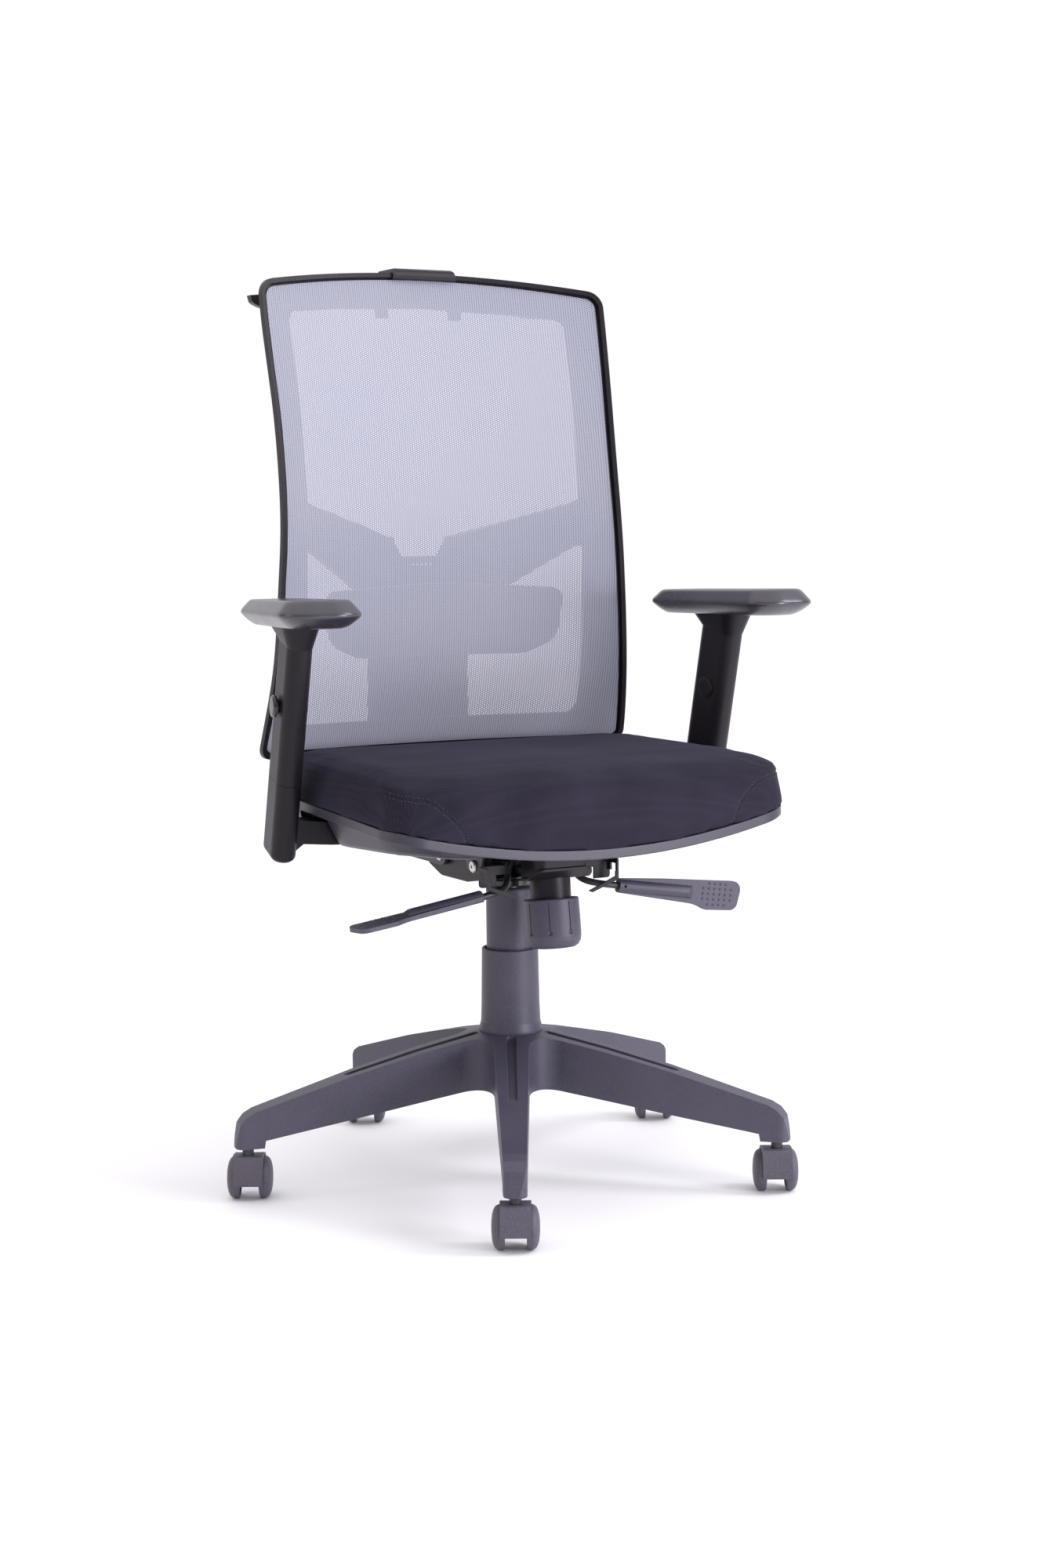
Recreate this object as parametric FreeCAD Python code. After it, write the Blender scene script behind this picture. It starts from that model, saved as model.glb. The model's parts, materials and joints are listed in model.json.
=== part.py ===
import FreeCAD, Part
import math
import os

# Swivel office chair with a mesh back, in millimetres.
# Origin: the swivel axis on the floor.  +Z is up, the sitter faces -Y, +X is the sitter's left.

V = FreeCAD.Vector

# ---------------------------------------------------------------- driving dimensions
# Five-star base and casters
LEG_COUNT = 5
LEG_ANGLE = -117.45                 # direction of the front leg, degrees from +X
CASTER_CIRCLE_R = 330.0             # swivel stems of the casters
HUB_TOP, HUB_BOTTOM = 182.0, 119.0
FOOT_BOTTOM = 65.0
LEG_HALF_ROOT, LEG_HALF_TIP = 21.5, 13.0
STEM_R = 5.5
WHEEL_R, WHEEL_IN, WHEEL_OUT = 25.0, 12.2, 27.0
CASTER_TRAIL = 16.0
CASTER_HEADING = 61.71              # direction in which the wheels trail, degrees from +X
HOOD_TOP, HOOD_LIP = 56.0, 20.0

# Column
TUBE_R, TUBE_BOTTOM, TUBE_TOP = 25.0, 112.0, 275.0
PISTON_R = 14.0
COVER_SPLIT_TOP = 284.0             # top of the lower cover
UPPER_COVER_R, UPPER_COVER_BOTTOM, UPPER_COVER_TOP = 28.5, 266.0, 359.0
RUN = 0.05                          # radial clearance of a running fit

# Mechanism pivots, as (y, z)
SEAT_PIVOT = (-56.0, 395.0)
BACK_PIVOT = (30.0, 400.0)
LINK_PIN = (100.0, 404.07)
PIN_R = 5.0
HOUSING_HALF, NOSE_HALF, WALL = 72.0, 36.0, 3.0
HOUSING_FRONT, HOUSING_REAR = -138.0, 78.0
ARM_IN, ARM_OUT = 73.0, 78.0        # side arms of the back bracket
LEVER_X, LEVER_Z = 28.0, 405.0      # lever shafts
KNOB_TILT = 7.0
KNOB_HEAD = (0.0, -100.0, 395.0)    # where the collar leaves the housing
COLLAR_R = 24.0

# Seat: the pan's rim follows a saddle line; the tray under it has a flat floor
SEAT_HALF, SEAT_FRONT, SEAT_REAR = 262.0, -235.0, 150.0
CORNER_R, LIP, RIM = 43.0, 11.0, 12.0
FLOOR, PLATE = 430.0, 4.6           # recess in the tray's floor for the steel plates, their thickness
SKIRT = 424.0                       # underside of the tray round the plates
CUSHION_TOP = 526.0

# Arms
ARM_X = 288.0
ARM_FOOT = (32.75, 405.0)           # (y, z) of the lower end of the post
ARM_LEAN = 14.04
ARM_TOE = 8.0
POST_X, POST_Y = 15.0, 30.0         # half sizes of the outer stadium section
JOINT_L, SLEEVE_L = 103.0, 262.0
BUTTON_L = 191.7
PAD_Y, PAD_FLOOR, FLARE_L = -42.0, 683.0, 266.0

# Back: front edge of the frame at heights z, as (z, half width, y)
EDGE = [
    (500.0, 256.5, 170.0), (524.0, 255.0, 160.0), (559.0, 252.0, 149.0), (618.0, 246.0, 135.0),
    (713.0, 240.0, 127.5), (788.0, 235.5, 126.5), (862.0, 233.5, 134.0), (937.0, 234.0, 146.0),
    (1031.0, 237.0, 166.0), (1092.0, 237.0, 178.0), (1125.0, 237.0, 184.5),
]
SAG = 37.0                          # how far the middle of the back lies behind its sides
FRAME_BOTTOM, FRAME_SHOULDER, FRAME_CROWN = 513.0, 1092.0, 1111.5
FRAME_FRONT, FRAME_DEPTH = -4.0, 10.0
RIM_W, GROOVE_W, LEDGE_W = 5.5, 8.5, 16.0
SPINE_FRONT, SPINE_T = 227.0, 20.0
LUMBAR_HALF, LUMBAR_TOP, LUMBAR_BOTTOM = 166.0, 720.0, 632.0


# ---------------------------------------------------------------- helpers
def box(x0, x1, y0, y1, z0, z1):
    return Part.makeBox(x1 - x0, y1 - y0, z1 - z0, V(x0, y0, z0))


def rod(p, q, r):
    p, q = V(*p), V(*q)
    return Part.makeCylinder(r, (q - p).Length, p, q - p)


def bent_rod(points, r):
    """Round bar swept along a smooth curve through the points."""
    path = spline(points)
    start = path.tangentAt(path.FirstParameter)
    ring = Part.Wire(Part.makeCircle(r, V(*points[0]), start))
    return Part.Wire(path).makePipeShell([ring], True, False)


def join(shapes):
    out = shapes[0]
    if len(shapes) > 1:
        out = out.fuse(shapes[1:])
    return out.removeSplitter()


def on_xy(z):
    return lambda a, b: V(a, b, z)


def on_yz(x):
    return lambda a, b: V(x, a, b)


def on_xz(y):
    return lambda a, b: V(a, y, b)


def outline(points, place):
    """Closed wire through (a, b, corner radius) points; radius 0 is a sharp corner."""
    n = len(points)
    ends, edges = [], []
    for i, (a, b, r) in enumerate(points):
        here = V(a, b, 0)
        before, after = V(*points[i - 1][:2], 0), V(*points[(i + 1) % n][:2], 0)
        u, w = (before - here).normalize(), (after - here).normalize()
        if r == 0:
            ends.append((here, None, here))
            continue
        half = u.getAngle(w) / 2
        t = r / math.tan(half)
        middle = here + (u + w).normalize() * (r / math.sin(half) - r)
        ends.append((here + u * t, middle, here + w * t))
    for i, (start, middle, end) in enumerate(ends):
        if middle is not None:
            edges.append(Part.Arc(place(start.x, start.y), place(middle.x, middle.y),
                                  place(end.x, end.y)).toShape())
        following = ends[(i + 1) % n][0]
        if (following - end).Length > 1e-6:
            edges.append(Part.LineSegment(place(end.x, end.y),
                                          place(following.x, following.y)).toShape())
    return Part.Wire(edges)


def plate(points, place, direction):
    return Part.Face(outline(points, place)).extrude(V(*direction))


def sharp(points):
    return [(a, b, 0) for a, b in points]


def turned(points):
    """Solid of revolution about +Z from (radius, z) points."""
    face = Part.Face(Part.makePolygon([V(r, 0, z) for r, z in points + [points[0]]]))
    return face.revolve(V(0, 0, 0), V(0, 0, 1), 360)


def spline(points):
    curve = Part.BSplineCurve()
    curve.interpolate([V(*p) for p in points])
    return curve.toShape()


def line(p, q):
    return Part.LineSegment(V(*p), V(*q)).toShape()


def rounded(shape, radius, wanted):
    return shape.makeFillet(radius, [e for e in shape.Edges if wanted(e)])


def along(edge, axis):
    """True for a straight edge parallel to the axis index."""
    if edge.Curve.TypeId != "Part::GeomLine":
        return False
    d = edge.Curve.Direction
    return abs((d.x, d.y, d.z)[axis]) > 0.999


def turn(shape, angle, point=(0, 0, 0), axis=(0, 0, 1)):
    out = shape.copy()
    out.rotate(V(*point), V(*axis), angle)
    return out


def move(shape, x, y, z):
    out = shape.copy()
    out.translate(V(x, y, z))
    return out


def mirrored(shape):
    return shape.mirror(V(0, 0, 0), V(1, 0, 0))


def both(shape):
    return [shape, mirrored(shape)]


os.makedirs("parts", exist_ok=True)


def export(name, *shapes):
    shape = shapes[0] if len(shapes) == 1 else Part.makeCompound(list(shapes))
    shape.exportStep("parts/" + name + ".step")


# ---------------------------------------------------------------- star base
def star_plan(root_half, tip_half, tip_r, blend):
    """Star outline: straight tapering legs joined by concave arcs."""
    pts = []
    for k in range(LEG_COUNT):
        a = math.radians(LEG_ANGLE + 360.0 / LEG_COUNT * k)
        nxt = a + math.radians(180.0 / LEG_COUNT)
        for s in (-1, 1):
            c, d = tip_r, s * tip_half
            pts.append((c * math.cos(a) - d * math.sin(a), c * math.sin(a) + d * math.cos(a),
                        tip_half * 0.9))
        inner = root_half / math.sin(math.radians(180.0 / LEG_COUNT)) + 1.5
        pts.append((inner * math.cos(nxt), inner * math.sin(nxt), blend))
    return pts


def star_base():
    profile = turned([(0, HUB_TOP), (40, HUB_TOP), (120, 165), (200, 145), (322, 109.5), (333, 103.5),
                      (341, 94), (344, 80), (346, 66), (345, FOOT_BOTTOM), (313, FOOT_BOTTOM),
                      (311.5, 74), (200, 92), (39, HUB_BOTTOM), (0, HUB_BOTTOM)])
    star = plate(star_plan(LEG_HALF_ROOT, LEG_HALF_TIP, 346, 30), on_xy(60), (0, 0, 130))
    body = star.common(profile)
    hollow = turned([(52, 110), (52, 174), (120, 159), (200, 139), (300, 110), (300, 60), (52, 60)])
    inner = plate(star_plan(LEG_HALF_ROOT - 4, LEG_HALF_TIP - 4, 346, 30), on_xy(60), (0, 0, 130))
    cavity = hollow.common(inner)
    cuts = []
    for k in range(LEG_COUNT):
        angle = LEG_ANGLE + 360.0 / LEG_COUNT * k
        for r in (112, 172, 236):
            cavity = cavity.cut(turn(box(r, r + 3, -40, 40, 50, 200), angle))
        groove = plate([(42, -6.2, 5), (215, -5.2, 5), (215, 5.2, 5), (42, 6.2, 5)], on_xy(100), (0, 0, 100))
        floor = plate(sharp([(38, 178), (120, 161.5), (200, 142), (218, 141.5), (218, 200), (38, 200)]),
                      on_yz(-20), (40, 0, 0))
        floor = turn(floor, -90)
        cuts.append(turn(groove.common(floor), angle))
        stem = rod((CASTER_CIRCLE_R, 0, 60), (CASTER_CIRCLE_R, 0, 98), STEM_R + RUN)
        cuts.append(turn(stem, angle))
    cuts += [cavity, rod((0, 0, 100), (0, 0, 200), TUBE_R + 0.02)]
    return body.cut(cuts)


export("star_base", star_base())

# ---------------------------------------------------------------- column
export("gas_outer_tube", turned([
    (0, TUBE_BOTTOM), (TUBE_R - 2, TUBE_BOTTOM), (TUBE_R, TUBE_BOTTOM + 2), (TUBE_R, TUBE_TOP - 1.5),
    (TUBE_R - 1.5, TUBE_TOP), (PISTON_R + RUN, TUBE_TOP), (PISTON_R + RUN, TUBE_TOP - 60),
    (TUBE_R - 2.5, TUBE_TOP - 62), (TUBE_R - 2.5, TUBE_BOTTOM + 6), (0, TUBE_BOTTOM + 6)]))
export("lower_column_cover", turned([
    (TUBE_R + 0.3, HUB_TOP), (38.8, HUB_TOP), (38.8, HUB_TOP + 3), (36.4, HUB_TOP + 12), (35.6, 215),
    (34.4, COVER_SPLIT_TOP - 1), (33.6, COVER_SPLIT_TOP), (31.6, COVER_SPLIT_TOP), (32.6, 215),
    (32.6, HUB_TOP + 3), (TUBE_R + 0.3, HUB_TOP + 3)]))
export("upper_column_cover", turned([
    (UPPER_COVER_R - 2.2, UPPER_COVER_BOTTOM), (UPPER_COVER_R, UPPER_COVER_BOTTOM),
    (UPPER_COVER_R, UPPER_COVER_TOP - 3), (UPPER_COVER_R - 0.9, UPPER_COVER_TOP - 0.9),
    (UPPER_COVER_R - 3, UPPER_COVER_TOP), (PISTON_R + 0.5, UPPER_COVER_TOP),
    (PISTON_R + 0.5, UPPER_COVER_TOP - 4), (UPPER_COVER_R - 2.2, UPPER_COVER_TOP - 4)]))
export("piston_rod", turned([
    (10.5, 200), (PISTON_R, 200), (PISTON_R, 372), (13.2, 402), (12.4, 403), (4.1, 403), (4.1, 388),
    (10.5, 388)]))
export("taper_bushing", turned([
    (PISTON_R + 0.02, 361), (25.0, 361), (26.0, 362), (26.0, 368), (25.0, 369.5), (23.5, 370.5),
    (23.5, 379), (19.5, 379), (19.5, 404), (13.3, 404), (13.22, 402), (PISTON_R + 0.02, 372)]))
export("release_pin", turned([(0, 392), (4.0, 392), (4.0, 407.6), (3.0, 408.6), (0, 408.6)]))


# ---------------------------------------------------------------- mechanism
def housing_solid(inset):
    """Pressed tray: wide round the column, with a narrow nose in front."""
    half, nose = HOUSING_HALF - inset, NOSE_HALF - inset
    plan = [(-nose, HOUSING_FRONT + inset, 12), (nose, HOUSING_FRONT + inset, 12), (nose, -86, 8),
            (half, -62, 8), (half, HOUSING_REAR - inset, 6), (-half, HOUSING_REAR - inset, 6),
            (-half, -62, 8), (-nose, -86, 8)]
    side = [(HOUSING_FRONT - 5, 420 + inset, 0), (HOUSING_FRONT - 5, 402 + inset, 0),
            (-124, 386 + inset, 18), (-70, 380 + inset, 30), (-30, 373 + inset, 30),
            (40, 373 + inset, 30), (90, 390 + inset, 0), (90, 400 + inset, 0), (-60, 420 + inset, 0)]
    body = plate(plan, on_xy(360), (0, 0, 80))
    return body.common(plate(side, on_yz(-100), (200, 0, 0)))


def tilt_to_knob(shape):
    """Stand a shape built on the Z axis onto the leaning axis of the knob."""
    return turn(move(shape, *KNOB_HEAD), -KNOB_TILT, KNOB_HEAD, (1, 0, 0))


def mechanism_housing():
    body = housing_solid(0).cut(housing_solid(WALL))
    lip = plate([(-41, -141, 14), (41, -141, 14), (41, -100, 0), (-41, -100, 0)], on_xy(360), (0, 0, 80))
    lip = lip.common(plate(sharp([(-145, 400), (-145, 397), (-124, 383), (-98, 380), (-98, 383),
                                  (-123, 386)]), on_yz(-60), (120, 0, 0)))
    collar = tilt_to_knob(turned([(19.5 + 3, -40), (COLLAR_R, -40), (COLLAR_R + 0.6, 6), (19.5 + 3, 6)]))
    cap = tilt_to_knob(turned([(6, -40), (23, -40), (23, -36), (6, -36)]))
    well = tilt_to_knob(turned([(0, -60), (22.4, -60), (22.4, 16), (0, 16)]))
    boss = turned([(19.6, 373), (29, 373), (29, 384), (19.6, 384)])
    saddle = box(LEVER_X - 7, LEVER_X + 7, -48, -40, 375, 412)
    saddle = saddle.cut(rod((LEVER_X, -60, LEVER_Z), (LEVER_X, -30, LEVER_Z), 4.4 + RUN))
    cuts = [well, rod((0, 0, 350), (0, 0, 440), 23.6)]
    for s in (-1, 1):
        a, b = sorted((s * 24, s * 60))
        cuts.append(box(a, b, -98, -64, 380, 440))
    body = join([body.cut(cuts), lip.cut(well), collar, cap, boss] + both(saddle))
    # bearing holes for the two cross pins
    for y, z in (SEAT_PIVOT, BACK_PIVOT):
        body = body.cut(rod((-100, y, z), (100, y, z), PIN_R + 0.02))
    # groove round the taper bushing
    groove = rod((0, 0, 350), (0, 0, 384.5), 23.6).cut(rod((0, 0, 350), (0, 0, 390), 19.6))
    return body.cut(groove)


export("mechanism_housing", mechanism_housing())


def coil(radius, wire, height, turns):
    helix = Part.makeHelix(height / turns, height, radius)
    section = Part.Wire(Part.makeCircle(wire, V(radius, 0, 0), V(0, 1, 0)))
    return Part.Wire(helix).makePipeShell([section], True, True)


export("tension_spring", tilt_to_knob(move(coil(15.5, 2.2, 48, 7), 0, 0, -34)))

pins = []
for (y, z), reach in ((SEAT_PIVOT, 76.6), (BACK_PIVOT, 78.4)):
    head = turn(turned([(0, 0), (7.5, 0), (7.5, 1.6), (6.2, 3.2), (2.2, 3.4), (2.2, 2.2), (0, 2.2)]),
                90, (0, 0, 0), (0, 1, 0))
    pins.append(join([rod((-reach, y, z), (reach, y, z), PIN_R), move(head, reach, y, z),
                      move(mirrored(head), -reach, y, z)]))
export("pivot_pins", *pins)


def lever_clip():
    """Black retaining clip at the root of a lever, drawn for the +X side, clear of the lever's swing."""
    back_wall = plate([(66, 374, 0), (88, 374, 4), (88, 399, 4), (50, 399, 0), (50, 388, 0), (66, 388, 0)],
                      on_xz(-92), (0, 2.5, 0))
    front = plate([(84, 384, 0), (88, 384, 0), (88, 374, 0), (52, 361, 0), (47, 363, 0), (84, 378, 0)],
                  on_xz(-113), (0, 2.5, 0))
    side = box(85.5, 88, -113, -89.5, 384, 399).cut(box(84, 90, -109, -97, 380, 393))
    foot = box(50, 60, -92, -64, 396.5, 399)
    return join([back_wall, front, side, foot, box(85.5, 88, -113, -110.5, 374, 386)])


clip = lever_clip()
export("lever_clips", *both(clip))


# ---------------------------------------------------------------- tension knob
def tension_knob():
    outer = turned([(0, -97), (18, -97), (25, -96), (29.4, -93), (32.0, -88.5), (33.0, -83), (33.0, -62),
                    (32.6, -39.5), (31.6, -38), (29.5, -38), (28.8, -40), (28.8, -84), (26, -90), (9, -90),
                    (9, -52), (0, -52)])
    cuts = []
    for k in range(8):
        slot = box(31.3, 40, -0.6, 0.6, -78, -42)
        dimple = Part.makeSphere(3.2, V(34.3, 0, -77.5))
        cuts += [turn(slot, 45 * k + 10), turn(dimple, 45 * k + 10)]
    cuts.append(rod((0, 0, -92), (0, 0, -40), 5.02))
    return tilt_to_knob(outer.cut(cuts))


export("tension_knob", tension_knob())
export("tension_bolt", tilt_to_knob(turned([(0, -91.9), (5.0, -91.9), (5.0, 17), (4.2, 18), (0, 18)])))


# ---------------------------------------------------------------- levers
def lever_rod(reach_pin):
    """Bent steel rod of a lever, drawn for the +X side: shaft, swan neck and paddle root."""
    neck = [(LEVER_X, -80, LEVER_Z), (34, -79, 403), (41, -79, 396), (44.5, -80, 386), (50, -87, 376),
            (64, -98, 370), (85, -102, 366), (106, -103.5, 363), (128, -105, 360)]
    swan = bent_rod(neck, 4.0)
    if reach_pin:
        shaft = rod((LEVER_X, -84, LEVER_Z), (LEVER_X, 4, LEVER_Z), 4.4)
        crank = box(LEVER_X - 3, LEVER_X + 3, -3, 3, LEVER_Z, 413.2)
        finger = rod((LEVER_X + 3, 0, 413), (-3, 0, 413), 3.0)
        return join([shaft, swan, crank, finger])
    shaft = rod((LEVER_X, -84, LEVER_Z), (LEVER_X, -38, LEVER_Z), 4.4)
    return join([shaft, swan, box(LEVER_X - 3, LEVER_X + 3, -72, -66.5, LEVER_Z - 12, LEVER_Z)])


def lever_paddle():
    """Paddle in its own frame: +X along the lever, +Z out of the dotted face."""
    blade = plate([(0, -8.5, 2), (108, -16, 60), (122, -22, 12), (166, -20, 11), (171, 16, 11), (60, 12, 80),
                   (0, 8.5, 2)], on_xy(-2.6), (0, 0, 5.2))
    spine = rod((0, 0, 0.4), (104, -1.5, 0.4), 8.0).cut(
        plate(sharp([(96, 12), (96, 0.5), (120, -12), (120, 12)]), on_xz(-20), (0, 40, 0)).common(
            plate(sharp([(92, 9), (106, 0.6), (106, 12), (92, 12)]), on_xz(-20), (0, 40, 0))))
    spine = spine.cut(box(-5, 120, -20, 20, -20, -4.6))
    dots = []
    rows = [(-13.5, 4), (-7.0, 6), (-0.5, 6), (6.0, 6), (12.0, 4)]
    for y, count in rows:
        for i in range(count):
            x = 137.0 + (i - (count - 1) / 2) * 7.8
            dots.append(Part.makeCone(1.7, 0.9, 1.1, V(x, y - 1.5, 2.5), V(0, 0, 1)))
    return join([blade, spine] + dots).cut(rod((7, 0, 4), (7, 0, 12), 1.6))


def place_paddle(shape, face_up):
    """Lay the paddle along the lever; the two paddles differ by a quarter turn."""
    out = shape.copy()
    out.rotate(V(0, 0, 0), V(1, 0, 0), 0 if face_up else 90)
    out.rotate(V(0, 0, 0), V(0, 1, 0), 7.8)
    out.rotate(V(0, 0, 0), V(0, 0, 1), -3.0)
    out.translate(V(92, -102.4, 365.0))
    return out


for name, face_up, side in (("height_lever", True, -1), ("tilt_lever", False, 1)):
    bent = lever_rod(face_up)
    paddle = place_paddle(lever_paddle(), face_up).cut(bent)
    if side < 0:
        bent, paddle = mirrored(bent), mirrored(paddle)
    export(name + "_rod", bent)
    export(name + "_paddle", paddle)


# ---------------------------------------------------------------- seat
MIDDLE_LINE = [(-272, 414.0), (-235, 418.0), (-215, 424.0), (-190, 432.0), (-160, 440.0), (-120, 446.0),
               (-60, 449.0), (60, 452.0), (170, 457.0)]
SIDE_LINE = [(-272, 449.0), (-211, 453.0), (-162, 455.5), (-112, 458.0), (-62, 460.0), (-12, 462.5),
             (39, 465.0), (89, 467.5), (170, 471.0)]
SHARE = [(0, 0.0), (46, 0.03), (91, 0.12), (137, 0.28), (182, 0.50), (224, 0.765), (241, 0.90), (270, 1.0)]


def between(table, value):
    """Straight-line reading of a table."""
    for (a, fa), (b, fb) in zip(table, table[1:]):
        if value <= b:
            return fa + (fb - fa) * (value - a) / (b - a)
    return table[-1][1]


def skin(height):
    """Smooth sheet over the seat at height(x, y)."""
    grid = []
    for i in range(15):
        x = -273.0 + 39.0 * i
        grid.append([V(x, -272.0 + 31.0 * j, height(x, -272.0 + 31.0 * j)) for j in range(15)])
    surface = Part.BSplineSurface()
    surface.interpolate(grid)
    return surface.toShape()


def lip_height(x, y):
    """Underside of the rim: low at the front middle, high along the sides."""
    middle, side = between(MIDDLE_LINE, y), between(SIDE_LINE, y)
    return middle + between(SHARE, abs(x)) * (side - middle)


def seat_wire(inset, z):
    """Seat outline: slightly bowed front, round front corners, wide round rear corners."""
    h, f, r, c = SEAT_HALF - inset, SEAT_FRONT + inset, SEAT_REAR - inset, CORNER_R
    dent = 0.2929 * (c - inset)

    def half(s):
        front = Part.Arc(V(s * (h - c + inset), f + 6, z), V(s * (h - dent), f + 6 + dent, z),
                         V(s * h, f + 6 + c - inset, z)).toShape()
        side = Part.LineSegment(V(s * h, f + 6 + c - inset, z), V(s * (h - 5), r - 56, z)).toShape()
        rear = Part.Arc(V(s * (h - 5), r - 56, z), V(s * (h - 21), r - 16, z),
                        V(s * (h - 62), r, z)).toShape()
        return [front, side, rear]
    nose = Part.Arc(V(-(h - c + inset), f + 6, z), V(0, f, z), V(h - c + inset, f + 6, z)).toShape()
    tail = Part.LineSegment(V(h - 62, r, z), V(-(h - 62), r, z)).toShape()
    return Part.Wire([nose] + half(1) + [tail] + list(reversed(half(-1))))


def seat_prism(inset):
    return Part.Face(seat_wire(inset, 380)).extrude(V(0, 0, 200))


def tray(inset):
    """Body of the tray: flat floor, steep rounded walls, carried up past the rim."""
    def level(z, g):
        return outline([(-172 - g, -200 - g, 34), (172 + g, -200 - g, 34), (216 + g, -115 - g, 90),
                        (232 + g, -20, 150), (232 + g, 90, 60), (212 + g, 138 + g / 3, 24),
                        (-212 - g, 138 + g / 3, 24), (-232 - g, 90, 60), (-232 - g, -20, 150),
                        (-216 - g, -115 - g, 90)], on_xy(z))
    steps = [(SKIRT, -10), (SKIRT + 1.6, -5), (SKIRT + 5, -1.5), (SKIRT + 10, 1.5), (SKIRT + 30, 12),
             (SKIRT + 66, 17)]
    return Part.makeLoft([level(z + inset, g - inset) for z, g in steps], True, True)


def relief(wall):
    """Room in the tray for the arm tubes at the sides and for the steel plates, grown by a wall."""
    tubes = [box(181 - wall, 280, -12 - wall, 66 + wall, 400, 462 + wall)]
    tubes.append(mirrored(tubes[0]))
    return tubes + [box(-183, 183, -14 - wall, 80 + wall, 400, FLOOR + wall),
                    box(-84.5 - wall, 84.5 + wall, -114 - wall, 120 + wall, 400, FLOOR + wall)]


lip_sheet = skin(lip_height)
under_rim = move(lip_sheet, 0, 0, LIP - 150).extrude(V(0, 0, 150))
rim_slab = lip_sheet.extrude(V(0, 0, LIP)).common(seat_prism(0))
pan = rim_slab.fuse(tray(0).common(under_rim)).cut(relief(0))
hollow = move(lip_sheet, 0, 0, 3.5).extrude(V(0, 0, 40)).common(seat_prism(RIM))
hollow = hollow.fuse(tray(3.0).common(seat_prism(RIM))).cut(relief(3.0))
pan = pan.cut(hollow)
plate_xy = [(s * 55, y) for s in (-1, 1) for y in (-92, 62)]
arm_plate_xy = [(120, 8), (120, 58), (166, 33)]
insert_xy = plate_xy + [(s * x, y) for s in (-1, 1) for x, y in arm_plate_xy]
bosses = [rod((x, y, FLOOR + 1), (x, y, FLOOR + 12), 7) for x, y in insert_xy]
pan = join([pan] + bosses).cut([rod((x, y, FLOOR - 1), (x, y, FLOOR + 10), 3.02) for x, y in insert_xy])
export("seat_pan", pan)


def crown(x, y):
    """Top of the cushion: nearly level, falling away over the front."""
    fall = [(-272, 22), (-235, 16), (-205, 11), (-170, 7), (-120, 3.5), (0, 1.5), (200, 0)]
    return CUSHION_TOP - between(fall, y)


def cushion():
    """Plain block with a rounded top edge, resting on the rim."""
    steps = [(400, -2), (CUSHION_TOP - 24, -2), (CUSHION_TOP - 13, 0), (CUSHION_TOP - 5, 4),
             (CUSHION_TOP - 1.5, 9), (CUSHION_TOP, 18)]
    body = Part.makeLoft([seat_wire(g, z) for z, g in steps], True, True)
    return body.common([move(lip_sheet, 0, 0, LIP + 0.02).extrude(V(0, 0, 150))]).common(
        skin(crown).extrude(V(0, 0, -150)))


export("seat_cushion", cushion())


def seat_bracket():
    """Steel plate under the tray: flanges hang on the front pivot, lugs reach back to the link pins."""
    z0, edge = FLOOR - PLATE, FLOOR - PLATE + 0.6
    top = plate([(-82, -112, 10), (82, -112, 10), (82, -16, 4), (70, -10, 4), (70, 76, 4), (82, 82, 4),
                 (82, 118, 10), (-82, 118, 10), (-82, 82, 4), (-70, 76, 4), (-70, -10, 4), (-82, -16, 4)],
                on_xy(z0), (0, 0, PLATE))
    top = top.cut(plate([(-40, -30, 10), (40, -30, 10), (40, 50, 10), (-40, 50, 10)], on_xy(400), (0, 0, 60)))
    flange = plate([(-84, edge, 0), (-72, 388, 12), (-40, 388, 12), (-22, edge, 0)], on_yz(73.4), (3.0, 0, 0))
    flange = flange.cut(rod((60, *SEAT_PIVOT), (90, *SEAT_PIVOT), PIN_R + RUN))
    lug = plate([(86, edge, 0), (88, 394, 11), (112, 394, 11), (116, edge, 0)], on_yz(ARM_OUT + 1),
                (3.0, 0, 0))
    pin = rod((ARM_IN - 2, *LINK_PIN), (ARM_OUT + 5, *LINK_PIN), PIN_R)
    side = [flange, lug, pin]
    body = join([top] + side + [mirrored(s) for s in side])
    return body.cut([rod((x, y, 400), (x, y, 440), 3.3) for x, y in plate_xy])


export("seat_bracket", seat_bracket())
export("seat_screws", *[join([rod((x, y, FLOOR - under), (x, y, FLOOR + 9), 3.0),
                              rod((x, y, FLOOR - under - 3.4), (x, y, FLOOR - under), 5.5)])
                        for x, y, under in [(x, y, PLATE) for x, y in plate_xy]
                        + [(x, y, 5.0) for x, y in insert_xy[4:]]])


# ---------------------------------------------------------------- arms
def stadium(hx, hy, z0, z1):
    r = hx * 0.98
    return plate([(-hx, -hy, r), (hx, -hy, r), (hx, hy, r), (-hx, hy, r)], on_xy(z0), (0, 0, z1 - z0))


def to_arm(shape):
    """From the post's own frame (Z up the post) to the left arm's place."""
    out = turn(shape, ARM_TOE)
    out = turn(out, ARM_LEAN, (0, 0, 0), (1, 0, 0))
    return move(out, ARM_X, *ARM_FOOT)


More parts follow.
